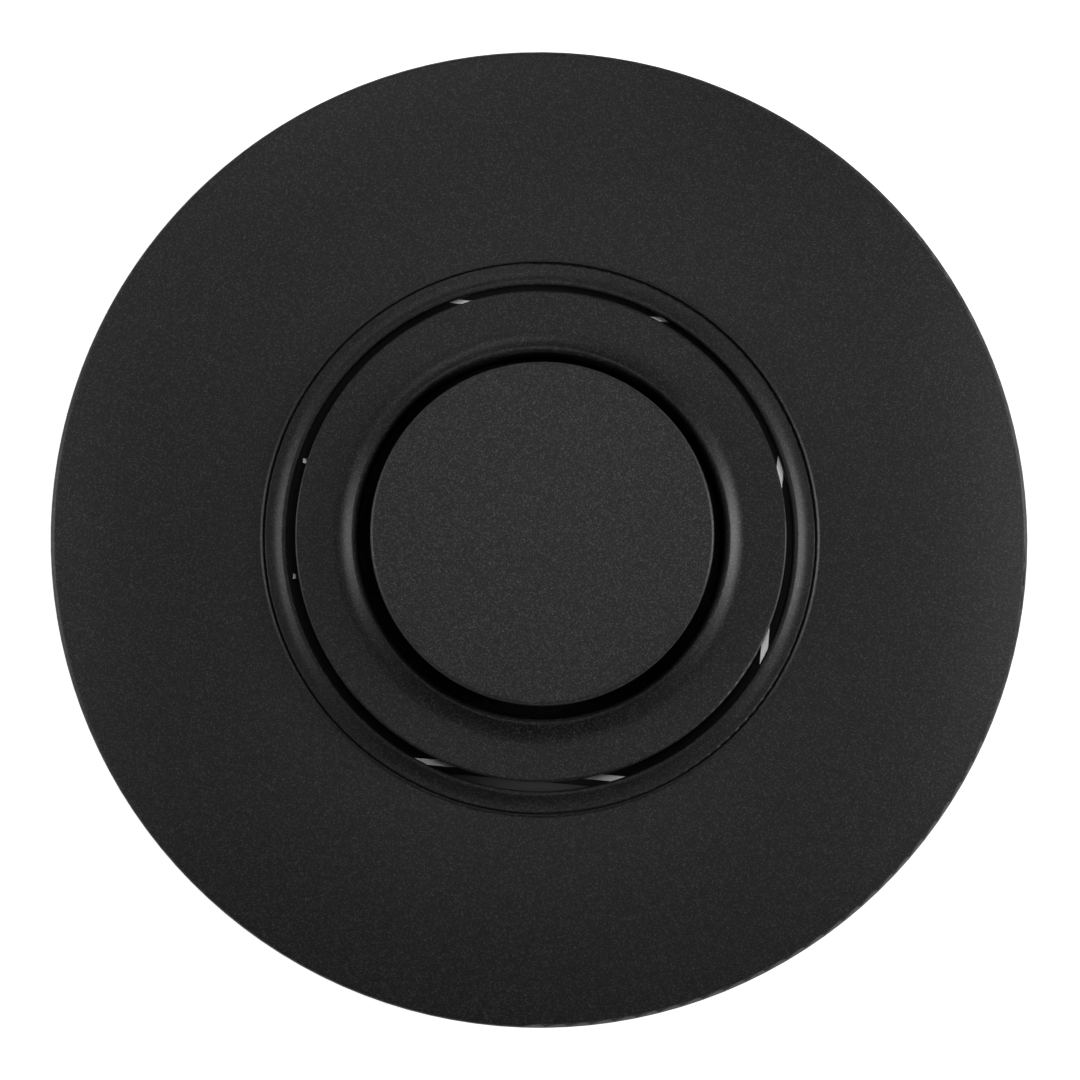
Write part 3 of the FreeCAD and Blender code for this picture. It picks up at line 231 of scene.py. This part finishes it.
def zincBright():
    look = looks["steelBright"]
    finish = Finish("steelBright", look["base"], look["roughness"], 1.0)
    cloud = finish.noise(look["cloud"], 4.0)
    fine = finish.noise(look["grain"])
    finish.set("Base Color", finish.mix(cloud, look["low"], look["high"]))
    finish.set("Roughness", look["smooth"] + look["spread"] * cloud + look["fineSpread"] * fine)
    finish.set("Normal", finish.bump(fine, look["depth"], 0.4, look["edge"]))
    return finish.material


# the tool's lines run round the turning axis
def turnedStainless():
    look = looks["stainless"]
    finish = Finish("stainless", look["base"], look["roughness"], 1.0)
    x, y, z = finish.axes()
    radius = (x * x + y * y) ** 0.5
    spot = finish.node("CombineXYZ", {}, {"X": radius * look["lines"], "Y": z * look["lines"], "Z": 0.0})
    brush = finish.node("TexNoise", {}, {"Vector": spot, "Scale": 1.0, "Detail": 3.0})
    cloud = finish.noise(look["cloud"], 3.0)
    finish.set("Base Color", finish.mix(cloud, look["low"], look["high"]))
    finish.set("Roughness", look["smooth"] + look["spread"] * brush + look["cloudSpread"] * cloud)
    finish.set("Normal", finish.bump(brush, look["depth"], 0.5, look["edge"]))
    return finish.material


def castAlloy():
    look = looks["castAlloy"]
    finish = Finish("castAlloy", look["base"], look["roughness"], 1.0)
    sand = finish.noise(look["grain"], 4.0, rough=0.6)
    cloud = finish.noise(look["cloud"], 3.0)
    finish.set("Base Color", finish.mix(cloud, look["low"], look["high"]))
    finish.set("Roughness", look["smooth"] + look["spread"] * sand)
    finish.set("Normal", finish.bump(sand, look["depth"], 0.6, look["edge"]))
    return finish.material


def laminatedSteel():
    look = looks["coreSteel"]
    finish = Finish("coreSteel", look["base"], look["roughness"], 1.0)
    height = finish.axes()[2]
    sheets = (height * (2 * math.pi / look["sheetHeight"])).sin() * 0.5 + 0.5
    stain = finish.noise(look["cloud"], 4.0)
    finish.set("Base Color", finish.mix(stain, look["low"], look["high"]))
    finish.set("Roughness", look["smooth"] + look["spread"] * stain)
    finish.set("Normal", finish.bump(sheets, look["depth"], 0.7))
    return finish.material


# the strands run round the coil, and waver up and down on the way
def woundCopper():
    look = looks["copperWinding"]
    finish = Finish("copperWinding", look["base"], look["roughness"], look["metallic"], Coat_Weight=look["coat"])
    x, y, z = finish.axes()
    angle = x.math("ARCTAN2", y, x)
    radius = (x * x + y * y) ** 0.5
    waver = (angle * look["waves"]).sin() * look["waveHeight"]
    strand = (radius * look["outward"] + z * look["upward"] + waver).sin() * 0.5 + 0.5
    shade = finish.noise(look["cloud"], 3.0)
    finish.set("Base Color", finish.mix(shade, look["low"], look["high"]))
    finish.set("Roughness", look["smooth"] + look["spread"] * shade)
    finish.set("Normal", finish.bump(strand, look["depth"], 0.9))
    return finish.material


# vary is how far the colour drifts either way
def plain(name, base, roughness, vary, grain, depth, metallic=0.0, **fixed):
    finish = Finish(name, base, roughness, metallic, **fixed)
    cloud = finish.noise(grain * 9, 3.0)
    fine = finish.noise(grain, 3.0)
    low, high = (tuple(c * (1 + side * vary) for c in base) for side in (-1, 1))
    spread = 0.10
    finish.set("Base Color", finish.mix(cloud, low, high))
    finish.set("Roughness", roughness - spread / 2 + spread * fine)
    finish.set("Normal", finish.bump(fine, depth, 0.6, 0.0004))
    return finish.material


finishes = {
    "cover_black": satinCoat("coverBlack", **satinBlack["coverBlack"]),
    "flange_black": satinCoat("flangeBlack", **satinBlack["flangeBlack"]),
    "stopper_black": satinCoat("stopperBlack", **satinBlack["stopperBlack"]),
    "shell_black": satinCoat("shellBlack", **satinBlack["shellBlack"]),
    "plate_black": plateBlack(),
    "housing_black": mouldedBlack(),
    "rubber_black": softRubber(),
    "steel_slip": slipSteel(),
    "steel_bright": zincBright(),
    "steel_stainless": turnedStainless(),
    "cast_alloy": castAlloy(),
    "core_steel": laminatedSteel(),
    "copper_winding": woundCopper(),
    "fibre_red_brown": plain("fibreBoard", (0.22, 0.10, 0.06), 0.80, vary=0.25, grain=0.0008, depth=0.00006),
    "bronze_bush": plain("bronze", (0.52, 0.33, 0.14), 0.36, vary=0.12, grain=0.0004, depth=0.00002, metallic=1.0),
    "foam_grey": plain("soundFoam", (0.10, 0.10, 0.105), 0.95, vary=0.25, grain=0.0012, depth=0.0005),
    "switch_tan": plain("tanMoulding", (0.30, 0.21, 0.12), 0.50, vary=0.10, grain=0.0006, depth=0.00002),
    "button_red": plain(
        "buttonRed", (0.45, 0.012, 0.012), 0.28, vary=0.06, grain=0.0006, depth=0.00001, Coat_Weight=0.4),
    "plug_grey": plain("greyMoulding", (0.055, 0.055, 0.06), 0.50, vary=0.15, grain=0.0007, depth=0.00003),
}
for part in frame["record"]["subparts"]:
    mesh = nodes[part["node"]].data
    mesh.materials.clear()
    mesh.materials.append(finishes[part["material_slot"]])
print("finishes set:", len(finishes))


studio = {
    "frameWidth": 0.2515,        # what the picture spans, at the cover's rim
    "tilt": 3.3,                 # degrees off straight down
    "lean": (-0.45, -0.87),      # the way the camera leans, in X and Y
    "distance": 8.0,
    "aim": (0.00018, -0.00010),
    "rimDrop": 0.007,            # from the cover's top down to the rim that the width is taken at
    "sensorWidth": 36.0,
    "clip": (0.1, 40.0),
    "floorSize": 4.0,
    "floorWhite": 0.9,
    "floorGlow": 0.85,           # what the white floor gives off itself, so that it stays even
    "skyLight": 0.02,            # the white behind everything, as light on the object
}
lamps = {
    "overhead": dict(spot=(0.08, 0.22, 1.75), size=(0.30, 0.30), watts=0.66),
    "slotLight": dict(spot=(0.01, -0.07, 1.75), size=(0.14, 0.14), watts=0.14),
    "backKey": dict(spot=(-0.25, 0.95, 1.25), size=(0.9, 0.5), watts=1.9),
    "rightBox": dict(spot=(1.15, 0.05, 0.85), size=(0.5, 0.9), watts=9.3),
    "leftBox": dict(spot=(-1.15, 0.05, 0.85), size=(0.5, 0.9), watts=5.7),
    "frontFill": dict(spot=(0.0, -1.3, 0.30), size=(1.2, 0.3), watts=0.15),
}
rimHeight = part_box("top_cover")[1].z - studio["rimDrop"]


def addFloor():
    half = studio["floorSize"] / 2
    mesh = bpy.data.meshes.new("floor")
    corners = [(-half, -half, 0), (half, -half, 0), (half, half, 0), (-half, half, 0)]
    mesh.from_pydata(corners, [], [(0, 1, 2, 3)])
    floor = bpy.data.objects.new("floor", mesh)
    scene.collection.objects.link(floor)
    paper = Finish("paper", (studio["floorWhite"],) * 3, 0.9)
    paper.set("Emission Color", (1.0, 1.0, 1.0, 1.0))
    paper.set("Emission Strength", studio["floorGlow"])
    mesh.materials.append(paper.material)


# the camera sees a pure white sky, and only a little of that light falls on the object
def addSky():
    world = bpy.data.worlds.new("studio")
    world.use_nodes = True
    sky = world.node_tree.nodes["Background"]
    sky.inputs["Color"].default_value = (1, 1, 1, 1)
    seen = world.node_tree.nodes.new("ShaderNodeLightPath")
    lift = world.node_tree.nodes.new("ShaderNodeMath")
    lift.operation = "MULTIPLY_ADD"
    world.node_tree.links.new(seen.outputs["Is Camera Ray"], lift.inputs[0])
    lift.inputs[1].default_value = 1.0 - studio["skyLight"]
    lift.inputs[2].default_value = studio["skyLight"]
    world.node_tree.links.new(lift.outputs[0], sky.inputs["Strength"])
    scene.world = world
    scene.view_settings.view_transform = "Standard"


def addCamera():
    target = Vector((*studio["aim"], rimHeight))
    angle = math.radians(studio["tilt"])
    lean = Vector(studio["lean"]).normalized() * math.sin(angle)
    back = Vector((lean.x, lean.y, math.cos(angle)))
    right = Vector((0, 1, 0)).cross(back).normalized()
    up = back.cross(right)
    data = bpy.data.cameras.new("camera")
    data.sensor_width = studio["sensorWidth"]
    data.lens = studio["sensorWidth"] * studio["distance"] / studio["frameWidth"]
    data.clip_start, data.clip_end = studio["clip"]
    camera = bpy.data.objects.new("camera", data)
    scene.collection.objects.link(camera)
    turn = Matrix((right, up, back)).transposed().to_4x4()
    camera.matrix_world = Matrix.Translation(target + back * studio["distance"]) @ turn
    scene.camera = camera


def addLamp(name, spot, size, watts):
    data = bpy.data.lights.new(name, "AREA")
    data.shape = "RECTANGLE"
    data.size, data.size_y = size
    data.energy = watts
    lamp = bpy.data.objects.new(name, data)
    scene.collection.objects.link(lamp)
    lamp.location = spot
    lamp.rotation_mode = "QUATERNION"
    lamp.rotation_quaternion = (Vector(spot) - Vector((0, 0, rimHeight))).to_track_quat("Z", "Y")
    lamp.visible_camera = False


addFloor()
addSky()
addCamera()
for name, lamp in lamps.items():
    addLamp(name, **lamp)
print("stage, camera and", len(lamps), "lights set")
